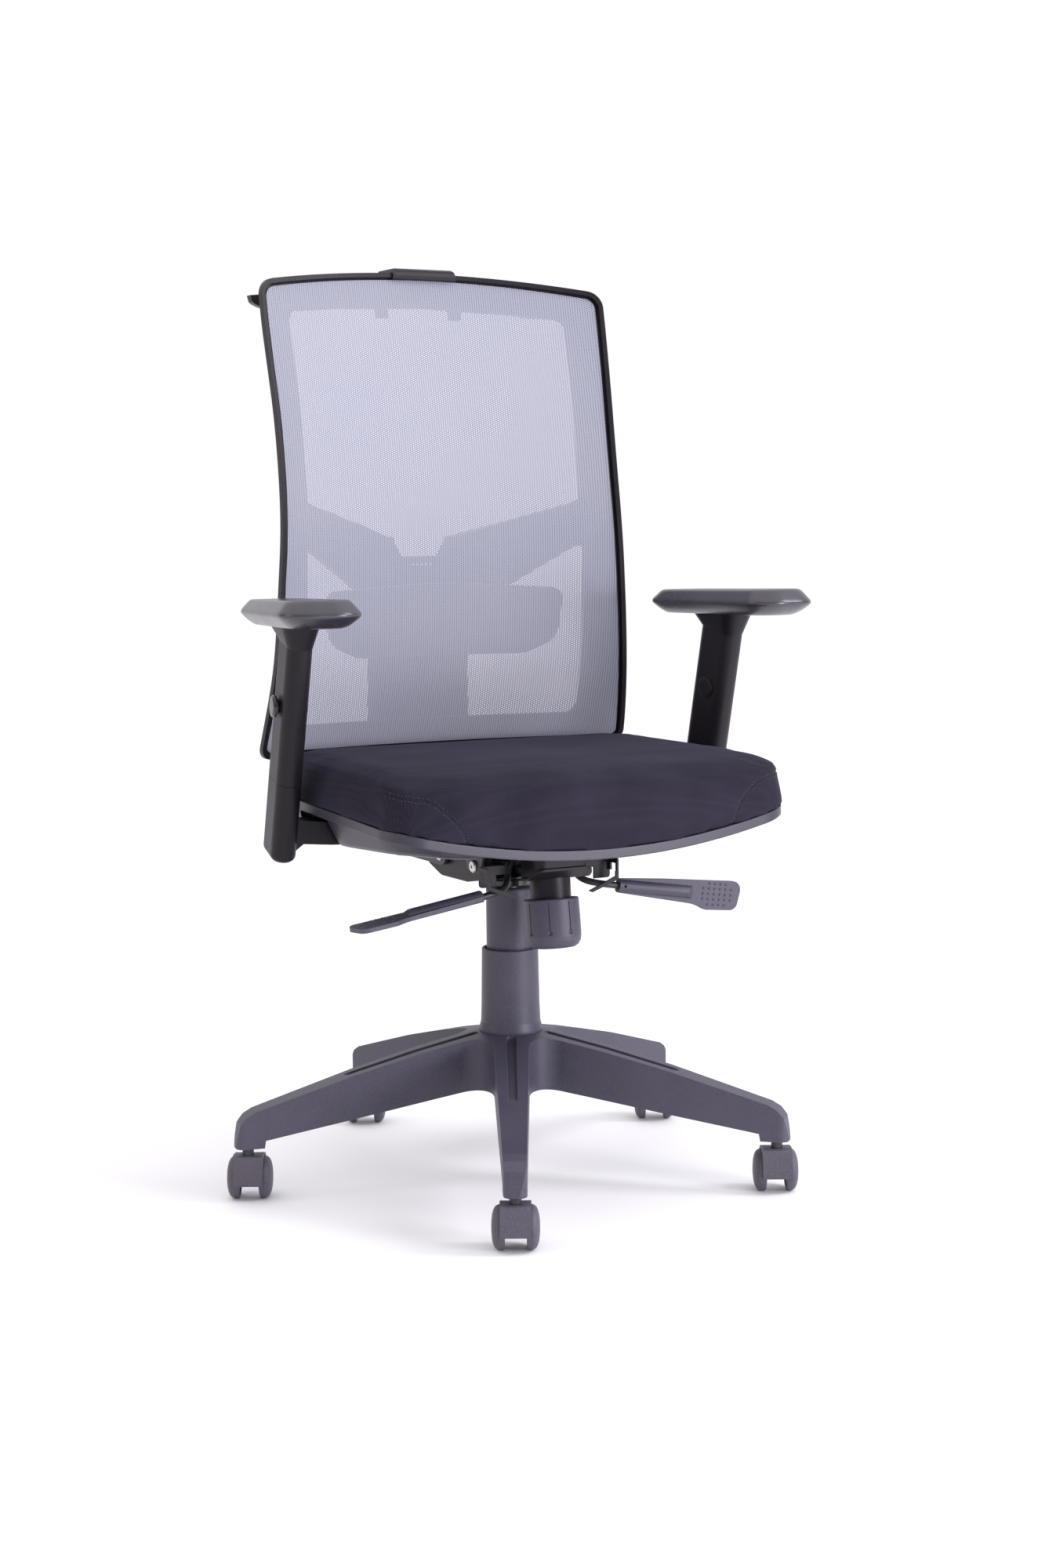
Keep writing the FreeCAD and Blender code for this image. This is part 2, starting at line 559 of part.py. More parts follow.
def arm_bracket():
    """Post, cross tube and the plate bolted under the tray."""
    shell = stadium(POST_X, POST_Y, 8, JOINT_L)
    shell = rounded(shell, 9.0, lambda e: e.BoundBox.ZMax < 8.5)
    tongue = stadium(POST_X - 4.2, POST_Y - 4.2, JOINT_L - 6, 228)
    post = to_arm(join([shell, tongue]))
    cross = plate([(96, FLOOR - 5, 0), (96, FLOOR, 0), (183, FLOOR, 0), (198, 446, 8), (240, 453, 40),
                   (284, 458, 0), (284, 430, 8), (236, 426, 30), (204, 425, 12)], on_xz(-12), (0, 92, 0))
    cross = cross.common(plate([(94, -12, 10), (200, -6, 20), (292, 2, 0), (292, 50, 0), (204, 58, 20),
                                (94, 78, 10)], on_xy(400), (0, 0, 100)))
    gusset = plate([(262, 428, 0), (282, 414, 0), (282, 440, 0), (240, 440, 0)], on_xz(14), (0, 22, 0))
    body = join([post, cross, gusset])
    return body.cut([rod((x, y, 415), (x, y, 440), 3.3) for x, y in arm_plate_xy])


bracket = arm_bracket()
export("arm_bracket_left", bracket)
export("arm_bracket_right", mirrored(bracket))


def flare(wall):
    """Top of the sleeve: opens out from the leaning post to a level foot under the pad."""
    hx, hy, r = POST_X - wall, POST_Y - wall, 14.7 - wall
    low = to_arm(outline([(-hx, -hy, r), (hx, -hy, r), (hx, hy, r), (-hx, hy, r)], on_xy(FLARE_L - wall)))
    level = outline([(-22 + wall, -43 + wall, 19 - wall), (22 - wall, -43 + wall, 19 - wall),
                     (22 - wall, 37 - wall, 19 - wall), (-22 + wall, 37 - wall, 19 - wall)], on_xy(0))
    level = move(turn(level, ARM_TOE), ARM_X, ARM_FOOT[0] - 62, PAD_FLOOR - 0.4 + wall)
    return Part.makeLoft([low, level], True, True)


def arm_sleeve():
    """Tube that slides on the tongue, with a foot for the pad and a button hole through both faces."""
    outer = stadium(POST_X, POST_Y, JOINT_L + 0.4, FLARE_L)
    bore = stadium(POST_X - 3.4, POST_Y - 3.4, JOINT_L, FLARE_L - 2)
    holes = [rod((0, 0, BUTTON_L), (20, 0, BUTTON_L), 8.3), rod((-20, 0, BUTTON_L), (0, 0, BUTTON_L), 8.0)]
    body = to_arm(outer).fuse(flare(0)).removeSplitter()
    return body.cut([to_arm(bore), flare(3.4).common(box(200, 380, -200, 200, 600, PAD_FLOOR - 4))]
                    + [to_arm(h) for h in holes])


def dome(r, h, depth, stem_r):
    """Domed disc about +X: face outwards, stem inwards."""
    return turn(turned([(0, -depth), (stem_r, -depth), (stem_r, 0), (r, 0), (r, h * 0.45), (r * 0.93, h * 0.8),
                        (r * 0.7, h), (0, h)]), 90, (0, 0, 0), (0, 1, 0))


sleeve = arm_sleeve()
button = to_arm(move(dome(13.0, 4.6, 3.0, 8.0), POST_X + 3.5, 0, BUTTON_L))
cap = to_arm(mirrored(move(dome(13.0, 2.4, 3.2, 7.9), POST_X + 0.02, 0, BUTTON_L)))


def arm_pad():
    """Pad with a soft rounded plan, bevelled below and above."""
    def ring(half, front, rear, z, r):
        return outline([(-half, front, r), (half, front, r), (half * 0.86, rear, r * 0.9),
                        (-half * 0.86, rear, r * 0.9)], on_xy(z))
    levels = [ring(31, -101, 103, 0, 26), ring(39, -113, 113, 5.5, 32), ring(46, -121, 121, 13, 36),
              ring(47, -122, 122, 16.5, 36), ring(42, -117, 116, 24, 33), ring(33, -106, 106, 29, 28),
              ring(24, -94, 95, 31, 22)]
    body = Part.makeLoft(levels, True, False)
    return move(turn(body, ARM_TOE - 1), ARM_X, PAD_Y, PAD_FLOOR)


pad = arm_pad()
for side, flip in (("left", lambda s: s), ("right", mirrored)):
    export("arm_sleeve_" + side, flip(sleeve))
    export("arm_pad_" + side, flip(pad))
    export("arm_cap_" + side, flip(cap))
    export("arm_button_" + side, flip(button))


# ---------------------------------------------------------------- back
def edge_at(z):
    """Half width and y of the back's side edge at height z."""
    return (between([(h, w) for h, w, _ in EDGE], z), between([(h, y) for h, _, y in EDGE], z))


def slab(offset, depth):
    """Curved slab: follows the side curve of the back and bows rearwards in the middle."""
    grid = []
    for i in range(15):
        x = -259.0 + 37.0 * i
        grid.append([V(x, y + offset + SAG * (1 - (x / w) ** 2), z) for z, w, y in EDGE])
    surface = Part.BSplineSurface()
    surface.interpolate(grid)
    return surface.toShape().extrude(V(0, depth, 0))


def prism(inset, top_r, bottom_r):
    low, high = FRAME_BOTTOM + inset, FRAME_SHOULDER - inset
    side = [(w - inset, 60.0, z) for z, w, _ in EDGE if low + 8 < z < high - 8]
    side = [(255.6 - inset, 60.0, low)] + side + [(237.0 - inset, 60.0, high)]
    other = [(-x, y, z) for x, y, z in reversed(side)]
    edges = [line(other[-1], side[0]), spline(side),
             Part.Arc(V(*side[-1]), V(0, 60.0, FRAME_CROWN - inset), V(*other[0])).toShape(), spline(other)]
    body = Part.Face(Part.Wire(edges)).extrude(V(0, 270, 0))
    body = rounded(body, top_r, lambda e: along(e, 1) and e.BoundBox.ZMin > 900)
    return rounded(body, bottom_r, lambda e: along(e, 1) and e.BoundBox.ZMin < 900)


outer_prism = prism(0.0, 22.0, 14.0)
inner_prism = prism(RIM_W, 17.0, 9.0)
ledge_prism = prism(LEDGE_W, 10.0, 5.0)

ring = slab(FRAME_FRONT, FRAME_DEPTH).common(outer_prism)
front_frame = ring.cut([slab(FRAME_FRONT - 1, 7.4).common(inner_prism), ledge_prism])
export("front_frame", front_frame)
export("mesh_panel", slab(FRAME_FRONT + 3.4, 2.0).common(prism(GROOVE_W, 14.0, 7.0)))


def y_arm():
    """Right-hand arm of the Y: runs from the side of the ring back to the spine."""
    plan = plate(sharp([(40, 228), (114, 190.5), (196, 152), (206, 152), (206, 168), (120, 207),
                        (62, 247), (40, 247)]), on_xy(600), (0, 0, 300))
    front = plate([(30, 782, 0), (48, 782, 10), (192.5, 825, 30), (208, 836, 0), (208, 762, 0), (194, 774, 20),
                   (116, 724, 30), (66, 690, 20), (66, 640, 0), (30, 640, 0)], on_xz(100), (0, 200, 0))
    return plan.common(front)


def rear_frame():
    window = plate([(-194.5, 1057, 12), (-192.5, 825, 0), (-196, 713, 0), (-197, 552, 14), (197, 552, 14),
                    (196, 713, 0), (192.5, 825, 0), (194.5, 1057, 12), (120, 1064, 0), (0, 1069, 0),
                    (-120, 1064, 0)], on_xz(60), (0, 270, 0))
    band = slab(FRAME_FRONT + FRAME_DEPTH, 12.0).common(prism(10.0, 14.0, 9.0)).cut(window)
    arms = both(y_arm())
    centre = plate([(-44, 782, 3), (-29, 757, 4), (29, 757, 4), (44, 782, 3), (62, 770, 10), (62, 640, 0),
                    (-62, 640, 0), (-62, 770, 10)], on_xz(SPINE_FRONT), (0, SPINE_T, 0))
    # room for the spine, which is let into the back of the centre block
    pocket = box(-40.3, 40.3, SPINE_FRONT + 8, SPINE_FRONT + 60, 600, 747)
    keep = join([band] + arms + [centre.cut(pocket)])
    shoulders = box(-67, 67, SPINE_FRONT + 8, SPINE_FRONT + 60, 600, 665)
    return keep.cut([box(-40.3, 40.3, 200, SPINE_FRONT + 60, 600, 700), shoulders])


rear = rear_frame()


def spine():
    """J-shaped upright from the bracket under the seat to the centre block."""
    front = [(0, 235.3, 746), (0, 235.3, 700), (0, 235.0, 620), (0, 235.0, 560), (0, 233, 510), (0, 226, 465),
             (0, 208, 436), (0, 182, 423)]
    rear_side = [(0, 182, 391), (0, 224, 404), (0, 250, 430), (0, 262, 465), (0, 262, 510), (0, 258, 560),
                 (0, 255, 620), (0, 253, 700), (0, 252, 746)]
    edges = [spline(front), line(front[-1], rear_side[0]), spline(rear_side), line(rear_side[-1], front[0])]
    body = move(Part.Face(Part.Wire(edges)), -80, 0, 0).extrude(V(160, 0, 0))
    shape = plate([(-40, 746, 4), (40, 746, 4), (40, 662, 20), (66.6, 630, 12), (66.6, 540, 40), (62, 360, 0),
                   (-62, 360, 0), (-66.6, 540, 40), (-66.6, 630, 12), (-40, 662, 20)], on_xz(150), (0, 150, 0))
    body = body.common(shape).cut(box(-90, 90, 150, 300, 350, 390.6))
    # two long ribs' hollows in the rear face
    for s in (-1, 1):
        a, b = sorted((s * 8, s * 50))
        window = plate([(a, 640, 12), (b, 600, 12), (b, 500, 12), (a, 500, 12)], on_xz(251), (0, 40, 0))
        body = body.cut(window)
    return body


rail = join([box(-9, 9, 220, 235.4, 585, 745), box(-16, 16, 214, 220.02, 585, 745)])
spine_body = join([spine(), rail])
export("back_spine", spine_body)
rear = rear.cut([box(-16.3, 16.3, 200, 236, 560, 747)])
export("rear_frame", rear)


def back_bracket():
    """Steel fork: two side arms on the rear pivot, joined behind by a tray that carries the spine."""
    arm = plate([(16, 413, 13), (16, 387, 13), (112, 388, 6), (150, 385, 20), (234, 385, 0), (234, 399, 6),
                 (196, 404, 10), (150, 416, 10), (88, 420, 10), (60, 414, 8)],
                on_yz(ARM_IN), (ARM_OUT - ARM_IN, 0, 0))
    arm = arm.cut(rod((60, *BACK_PIVOT), (90, *BACK_PIVOT), PIN_R + RUN))
    slot = plate([(LINK_PIN[0] - 6.3, LINK_PIN[1] - 6.0, 5.9), (LINK_PIN[0] + 8.2, LINK_PIN[1] - 6.0, 5.9),
                  (LINK_PIN[0] + 8.2, LINK_PIN[1] + 6.6, 5.9), (LINK_PIN[0] - 6.3, LINK_PIN[1] + 6.6, 5.9)],
                 on_yz(60), (30, 0, 0))
    arm = arm.cut(slot)
    return join([box(-ARM_IN - 1, ARM_IN + 1, 130, 236, 386, 390.6)] + both(arm))


export("back_bracket", back_bracket())

bar_points = [(-222, 250, 1080), (-200, 262, 1083), (-140, 270, 1091), (-60, 272, 1097), (0, 272, 1098),
              (60, 272, 1097), (140, 270, 1091), (200, 262, 1083), (222, 250, 1080)]


def coat_hanger():
    """Shoulder-shaped bar with two struts that end flat on the rear ring."""
    top = [(x, 0, z) for x, _, z in bar_points]
    under = [(x * 0.985, 0, z - (17 if abs(x) < 210 else 8)) for x, _, z in reversed(bar_points)]
    face = Part.Face(Part.Wire([spline(top), line(top[-1], under[0]), spline(under),
                                line(under[-1], top[0])]))
    front_view = move(face, 0, 200, 0).extrude(V(0, 120, 0))
    near = [(x, y - 6, 0) for x, y, _ in bar_points]
    far = [(x, y + 6, 0) for x, y, _ in reversed(bar_points)]
    plan = Part.Face(Part.Wire([spline(near), line(near[-1], far[0]), spline(far), line(far[-1], near[0])]))
    bar = front_view.common(move(plan, 0, 0, 1040).extrude(V(0, 0, 100)))
    struts = []
    for a, b in ((43, 59), (-59, -43)):
        struts.append(box(a, b, 218, 268, 1080, 1087))
        struts.append(box(a, b, 218, 234, 1056, 1087))
    return join([bar] + struts).cut(slab(FRAME_FRONT, FRAME_DEPTH + 12.02))


export("coat_hanger", coat_hanger())
top_y = edge_at(FRAME_CROWN)[1] + SAG
clip_side = plate([(top_y - 8.5, 1103, 1.5), (top_y - 10, 1108, 0), (top_y - 10.5, 1114, 2.5),
                   (top_y - 4, 1117, 2), (262, 1117.5, 2), (262, 1107, 2), (259, 1107, 0),
                   (259, 1112.2, 0), (top_y - 5, 1112.2, 0), (top_y - 5, 1103, 0)], on_yz(-44), (88, 0, 0))
clip_front = plate(sharp([(-44, 1100), (44, 1100), (44, 1108), (38, 1120), (-38, 1120), (-44, 1108)]),
                   on_xz(150), (0, 150, 0))
export("hanger_clip", clip_side.common(clip_front).cut([coat_hanger(), front_frame, rear]))

back_screws = []
for x, z in ((203, 1000), (203, 880), (203, 760), (214, 600)):
    w, y = edge_at(z)
    y += SAG * (1 - (x / w) ** 2) + FRAME_FRONT + FRAME_DEPTH + 12.0
    back_screws += both(rod((x, y + 1.2, z), (x, y + 3.4, z), 4.5).cut(rear))
export("back_screws", *back_screws)


def lumbar_pad():
    """Bowed shell that leans with the mesh, on a block that runs on the spine's rail."""
    def arc(depth):
        return [V(-LUMBAR_HALF, 157 + depth, 0), V(0, 176 + depth, 0), V(LUMBAR_HALF, 157 + depth, 0)]
    f, r = arc(0), arc(8)
    face = Part.Face(Part.Wire([Part.Arc(*f).toShape(), Part.LineSegment(f[2], r[2]).toShape(),
                                Part.Arc(r[2], r[1], r[0]).toShape(), Part.LineSegment(r[0], f[0]).toShape()]))
    shell = move(face, 0, 0, 600).extrude(V(0, 0, 200))
    front = plate([(-LUMBAR_HALF, LUMBAR_TOP - 4, 14), (0, LUMBAR_TOP + 4, 400),
                   (LUMBAR_HALF, LUMBAR_TOP - 4, 14), (LUMBAR_HALF - 6, 652, 30), (120, LUMBAR_BOTTOM, 60),
                   (-120, LUMBAR_BOTTOM, 60), (-LUMBAR_HALF + 6, 652, 30)], on_xz(100), (0, 200, 0))
    shell = turn(shell.common(front), 3.9, (0, 176, 676), (1, 0, 0))
    block = box(-27, 27, 180, 226.4, 652, 692)
    track = join([box(-16.6, 16.6, 213.4, 220.6, 640, 700), box(-9.6, 9.6, 220, 240, 640, 700)])
    return join([shell, block.cut(track)])


export("lumbar_pad", lumbar_pad())


# ---------------------------------------------------------------- casters
def caster_hood():
    """Built with the swivel stem on the Z axis and the axle at +Y."""
    t, r0 = CASTER_TRAIL, WHEEL_R
    half = 17.5
    cover = Part.makeCylinder(r0 + 4.0, 2 * half, V(-half, t, WHEEL_R), V(1, 0, 0))
    crown = box(-half, half, t - r0 - 3.0, 10, 30, HOOD_TOP)
    crown = rounded(crown, 5.0, lambda e: along(e, 0) and e.BoundBox.ZMin > 50)
    cover = cover.fuse(crown)
    cover = cover.cut(Part.makeCylinder(r0 + 1.0, 2 * half + 2, V(-half - 1, t, WHEEL_R), V(1, 0, 0)))
    cover = cover.cut([box(-50, 50, -60, 60, -10, HOOD_LIP), box(-50, 50, t + 18, 80, -10, 80)])
    web = Part.makeCylinder(r0 + 1.5, 22.4, V(-11.2, t, WHEEL_R), V(1, 0, 0))
    web = web.cut([box(-50, 50, -60, 60, -10, HOOD_LIP), box(-50, 50, t + 12, 80, -10, 80)])
    post = rod((0, 0, 34), (0, 0, HOOD_TOP), 9.0).common(box(-11, 11, -20, 20, 0, 60))
    body = join([cover, web, post])
    body = body.cut([rod((0, 0, 30), (0, 0, 60), STEM_R + 0.02),
                     rod((-30, t, WHEEL_R), (30, t, WHEEL_R), 3.02)])
    return body


def caster_pins():
    stem = turned([(0, 30.2), (STEM_R, 30.2), (STEM_R, HOOD_TOP + 0.1), (6.75, HOOD_TOP + 0.1),
                   (6.75, FOOT_BOTTOM - 0.4), (STEM_R, FOOT_BOTTOM - 0.4), (STEM_R, 95), (STEM_R - 1.5, 97),
                   (0, 97)])
    stem = stem.cut(Part.makeCylinder(3.6, 30, V(-15, CASTER_TRAIL, WHEEL_R), V(1, 0, 0)))
    return stem, rod((-24, CASTER_TRAIL, WHEEL_R), (24, CASTER_TRAIL, WHEEL_R), 3.0)


def wheel():
    """Wheel on the +X side of the caster, hub bored for the axle."""
    rim = [(3.0 + RUN, WHEEL_IN), (9, WHEEL_IN), (9, WHEEL_IN + 1.5), (21.5, WHEEL_IN + 1.5), (21.5, WHEEL_IN),
           (24, WHEEL_IN), (WHEEL_R, WHEEL_IN + 1), (WHEEL_R, 18.6), (24.3, 20.6), (22.4, 22.9), (19.2, 24.7),
           (14.5, 26.0), (8.0, 26.8), (4.0, WHEEL_OUT), (0, WHEEL_OUT), (0, 24.3), (3.0 + RUN, 24.3)]
    body = turned(rim)
    body = turn(body, 90, (0, 0, 0), (0, 1, 0))
    return move(body, 0, CASTER_TRAIL, WHEEL_R)


hood, pin_pair, right_wheel = caster_hood(), caster_pins(), wheel()
for k in range(LEG_COUNT):
    a = LEG_ANGLE + 360.0 / LEG_COUNT * k
    spot = (CASTER_CIRCLE_R * math.cos(math.radians(a)), CASTER_CIRCLE_R * math.sin(math.radians(a)), 0)

    def put(shape):
        return move(turn(shape, CASTER_HEADING - 90.0), *spot)

    export("caster_hood_%d" % (k + 1), put(hood))
    export("caster_pins_%d" % (k + 1), *[put(p) for p in pin_pair])
    export("wheel_%d_a" % (k + 1), put(mirrored(right_wheel)))
    export("wheel_%d_b" % (k + 1), put(right_wheel))
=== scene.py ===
import json
import math

import bmesh
import bpy
import numpy as np
from mathutils import Matrix, Vector
from mathutils.bvhtree import BVHTree


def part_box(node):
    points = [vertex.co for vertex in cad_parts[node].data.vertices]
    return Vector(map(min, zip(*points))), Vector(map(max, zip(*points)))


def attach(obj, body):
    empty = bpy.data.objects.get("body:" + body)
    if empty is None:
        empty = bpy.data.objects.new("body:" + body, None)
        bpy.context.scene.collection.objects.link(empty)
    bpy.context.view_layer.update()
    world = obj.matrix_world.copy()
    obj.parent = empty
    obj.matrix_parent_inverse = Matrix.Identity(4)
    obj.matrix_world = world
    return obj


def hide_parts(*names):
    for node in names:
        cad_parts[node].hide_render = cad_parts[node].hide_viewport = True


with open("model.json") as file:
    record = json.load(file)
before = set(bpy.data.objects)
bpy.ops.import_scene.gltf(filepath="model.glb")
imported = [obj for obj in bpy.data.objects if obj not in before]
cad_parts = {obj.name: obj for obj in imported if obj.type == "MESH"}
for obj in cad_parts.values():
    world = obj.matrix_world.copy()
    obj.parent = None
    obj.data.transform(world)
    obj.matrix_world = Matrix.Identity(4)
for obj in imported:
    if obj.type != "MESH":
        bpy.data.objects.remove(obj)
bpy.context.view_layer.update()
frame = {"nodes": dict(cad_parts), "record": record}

# Looks of the swivel office chair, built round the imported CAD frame.  Metres, +Z up, the sitter
# faces -Y and "right" is -X.

scene = bpy.context.scene
NODES = frame["nodes"]

# ---------------------------------------------------------------- settings
CAMERA_PLACE = (-1.3813, -2.6031, 0.7898)
CAMERA_HEADING = math.radians(28.29)      # clockwise from +Y, seen from above
CAMERA_DIP = math.radians(5.94)
CAMERA_ROLL = math.radians(-0.59)
CAMERA_LENS = 56.18
CAMERA_SENSOR = 36.0                      # long side of the picture

SKY_LOW, SKY_HIGH = 0.20, 1.50            # the studio is brightest overhead
BACKDROP_SIDE = (0.47, 0.88, 0.0)         # and has a white screen behind the chair
SEEN_WHITE = 1.05                         # level of the plain white that the camera sees there

CUSHION_VOXEL = 0.005
CUSHION_SHRINK = 0.0015                   # the block starts this much smaller and swells back
TUCK = (0.003, 0.012)                     # above its underside the cover turns from held to free
CUSHION_SWELL = 0.005                     # most a point may move in the simulation
CUSHION_PRESSURE = 4.0
CUSHION_SOFTEN = 11                       # rounds of plain smoothing
CUSHION_EVEN = 6                          # then rounds that smooth and give back
CLOTH_FRAMES = 20
SEAM_DEPTH, SEAM_WIDTH = 0.0012, 0.0026
SEAM_STEP = 0.0008                        # spacing of the points along a seam
STITCH_LENGTH, STITCH_GAP, STITCH_R = 0.0019, 0.0015, 0.00034
STITCH_ROW = 0.0030                       # distance of the two stitched rows from the seam
STITCHED_FROM = -0.195                    # the twin stitching shows only forward of this
STITCH_SIDES = 6
# Rings of one stitch: place along it, size, height above the cloth
STITCH_RINGS = ((-0.5, 0.35, -0.6), (-0.32, 1.0, 0.5), (0.0, 1.15, 0.9), (0.32, 1.0, 0.5), (0.5, 0.35, -0.6))

# The knit as cut, with no allowance for the 2 percent it stretches to fill the frame's groove
KNIT_BACK = 0.0010                        # the sheet lies this far behind the CAD plate's front
KNIT_PITCH = (0.0031, 0.00257)            # across and up
PORE_HALF = (0.165, 0.205)                # as shares of the pitch
PORE_ROUNDING = 2.4                       # 2 is an ellipse, more is squarer
CLOTH_BANDS = 113.714                     # wave texture scale: one thread every 2.8 mm

# Colours, linear
PLASTIC = (0.041, 0.037, 0.058)
PLASTIC_PALE = (0.062, 0.056, 0.082)
DARK_PLASTIC = (0.0058, 0.0044, 0.0068)
DARK_PLASTIC_PALE = (0.0105, 0.0080, 0.0118)
CASTER = (0.056, 0.050, 0.068)
CASTER_PALE = (0.086, 0.076, 0.100)
STEEL_BLACK = (0.010, 0.010, 0.012)
# pale tone of black steel for slow drift and specks; brightened, it is also painted on edges as a highlight
STEEL_PALE = (0.032, 0.032, 0.036)
GLOSS = (0.010, 0.010, 0.011)
GLOSS_PALE = (0.016, 0.016, 0.018)
ZINC = (0.52, 0.50, 0.47)
ZINC_PALE = (0.70, 0.69, 0.66)
# painted highlight colour for the plated steel's edges
ZINC_EDGE_HIGHLIGHT = (0.86, 0.85, 0.82)
PAD = (0.024, 0.022, 0.030)
PAD_PALE = (0.040, 0.037, 0.048)
CLOTH = (0.0135, 0.0118, 0.0195)
CLOTH_PALE = (0.0290, 0.0258, 0.0400)
MESH = (0.272, 0.281, 0.330)
MESH_PALE = (0.392, 0.400, 0.452)
MESH_SHADE = (0.24, 0.27, 0.40)
LINT = (0.09, 0.09, 0.10)
THREAD_DARK = (0.030, 0.027, 0.040)
THREAD_PALE = (0.070, 0.065, 0.085)
FLOOR = (0.945, 0.945, 0.95)
STUDIO = (0.975, 0.955, 1.0, 1.0)

# Softboxes: name, place, target, size, power in watts, colour
SOFTBOXES = (
    ("key", (2.6, -2.0, 2.6), (0, 0, 0.5), (1.2, 2.0), 72, (0.92, 0.90, 1.0)),
    ("low_key", (1.5, -3.0, 0.75), (0.1, 0, 0.3), (0.9, 0.7), 58, (0.93, 0.90, 1.0)),
    ("warm_side", (-3.0, 0.6, 1.5), (0, 0, 0.6), (0.5, 2.2), 12, (1.0, 0.80, 0.72)),
)
FLOOR_HALF = 30.0                         # half the side of the floor


# ---------------------------------------------------------------- materials
def scaled(colour, by):
    return tuple(c * by for c in colour)


class Nodes:
    """Short way to write a node material."""

    def __init__(self, name):
        self.material = bpy.data.materials.new(name)
        self.material.use_nodes = True
        self.tree = self.material.node_tree
        self.tree.nodes.clear()
        self.output = self.tree.nodes.new("ShaderNodeOutputMaterial")
        self.shader = self.tree.nodes.new("ShaderNodeBsdfPrincipled")
        self.tree.links.new(self.shader.outputs[0], self.output.inputs[0])
        self.place = self.add("ShaderNodeTexCoord").outputs["Object"]

    def add(self, kind, inputs=None, **settings):
        node = self.tree.nodes.new(kind)
        for key, value in settings.items():
            setattr(node, key, value)
        for key, value in (inputs or {}).items():
            self.put(node.inputs[key], value)
        return node

    def put(self, socket, value):
        if isinstance(value, bpy.types.NodeSocket):
            self.tree.links.new(value, socket)
        else:
            if socket.type == "RGBA" and len(value) == 3:
                value = (*value, 1.0)
            socket.default_value = value

    def set(self, **values):
        for key, value in values.items():
            self.put(self.shader.inputs[key.replace("_", " ")], value)

    def noise(self, scale, detail=2.0, roughness=0.5, place=None):
        return self.add("ShaderNodeTexNoise", {"Vector": place or self.place, "Scale": scale,
                                               "Detail": detail, "Roughness": roughness}).outputs["Fac"]

    def cells(self, scale, feature="F1"):
        return self.add("ShaderNodeTexVoronoi", {"Vector": self.place, "Scale": scale},
                        feature=feature).outputs["Distance"]

    def wave(self, direction, scale, distortion, **more):
        inputs = {"Vector": self.place, "Scale": scale, "Distortion": distortion}
        inputs.update({key.replace("_", " "): value for key, value in more.items()})
        return self.add("ShaderNodeTexWave", inputs, wave_type="BANDS",
                        bands_direction=direction).outputs["Fac"]

    def math(self, operation, a, b=0.0):
        return self.add("ShaderNodeMath", {0: a, 1: b}, operation=operation).outputs[0]

    def share(self, value, part):
        return self.math("MULTIPLY", value, part)

    def blend(self, a, part, b):
        """The part of a, and the rest from b."""
        return self.math("ADD", self.share(a, part), self.share(b, round(1.0 - part, 6)))

    def spread(self, value, low, high, to_low=0.0, to_high=1.0):
        return self.add("ShaderNodeMapRange", {0: value, 1: low, 2: high, 3: to_low, 4: to_high}).outputs[0]

    def mix(self, factor, a, b):
        node = self.add("ShaderNodeMix", data_type="RGBA")
        self.put(node.inputs["Factor"], factor)
        self.put(node.inputs["A"], a)
        self.put(node.inputs["B"], b)
        return node.outputs["Result"]

    def bump(self, height, strength, distance, normal=None):
        inputs = {"Height": height, "Strength": strength, "Distance": distance}
        if normal is not None:
            inputs["Normal"] = normal
        return self.add("ShaderNodeBump", inputs).outputs[0]

    def soft_edge(self, radius):
        """Normal that rounds sharp edges, and how near a point is to one."""
        rounded = self.add("ShaderNodeBevel", {"Radius": radius}, samples=4).outputs[0]
        flat = self.add("ShaderNodeNewGeometry").outputs["True Normal"]
        same = self.add("ShaderNodeVectorMath", {0: rounded, 1: flat}, operation="DOT_PRODUCT")
        return rounded, self.spread(same.outputs["Value"], 0.99, 0.80)


def moulded(name, base, pale, rough=(0.40, 0.56), grain=1500.0, depth=0.00008, edge=0.0009,
            specular=0.5):
    """Moulded plastic or coated metal: spark-eroded grain, slow colour drift, edges painted paler as a
    highlight.
    """
    m = Nodes(name)
    normal, edge_highlight = m.soft_edge(edge)
    drift = m.noise(7.0, 4.0, 0.6)
    fine = m.cells(grain)
    speck = m.noise(grain * 0.45, 3.0)
    colour = m.mix(m.spread(drift, 0.32, 0.70), base, pale)
    colour = m.mix(m.share(m.spread(speck, 0.45, 0.75), 0.35), colour, scaled(pale, 1.9))
    # Painted highlight: the colour turns paler towards sharp edges.
    colour = m.mix(m.share(edge_highlight, 0.32), colour, scaled(pale, 2.4))
    m.set(Base_Color=colour, Roughness=m.spread(m.blend(drift, 0.6, speck), 0.3, 0.7, *rough),
          Normal=m.bump(fine, 0.55, depth, normal))
    m.set(Specular_IOR_Level=specular)
    return m.material


def zinc_plated():
    """Bright plated steel, brushed along its length."""
    m = Nodes("zinc_plated_steel")
    normal, edge_highlight = m.soft_edge(0.0005)
    stretched = m.add("ShaderNodeMapping", {"Vector": m.place, "Scale": (1.0, 1.0, 9.0)}).outputs[0]
    brush = m.noise(420.0, 5.0, 0.7, stretched)
    colour = m.mix(m.spread(brush, 0.3, 0.7), ZINC, ZINC_PALE)
    # Painted highlight: the plated steel turns paler towards sharp edges.
    colour = m.mix(m.share(edge_highlight, 0.5), colour, ZINC_EDGE_HIGHLIGHT)
    m.set(Base_Color=colour, Roughness=m.spread(brush, 0.3, 0.7, 0.24, 0.42),
          Normal=m.bump(brush, 0.3, 0.00005, normal))
    m.set(Metallic=1.0)
    return m.material


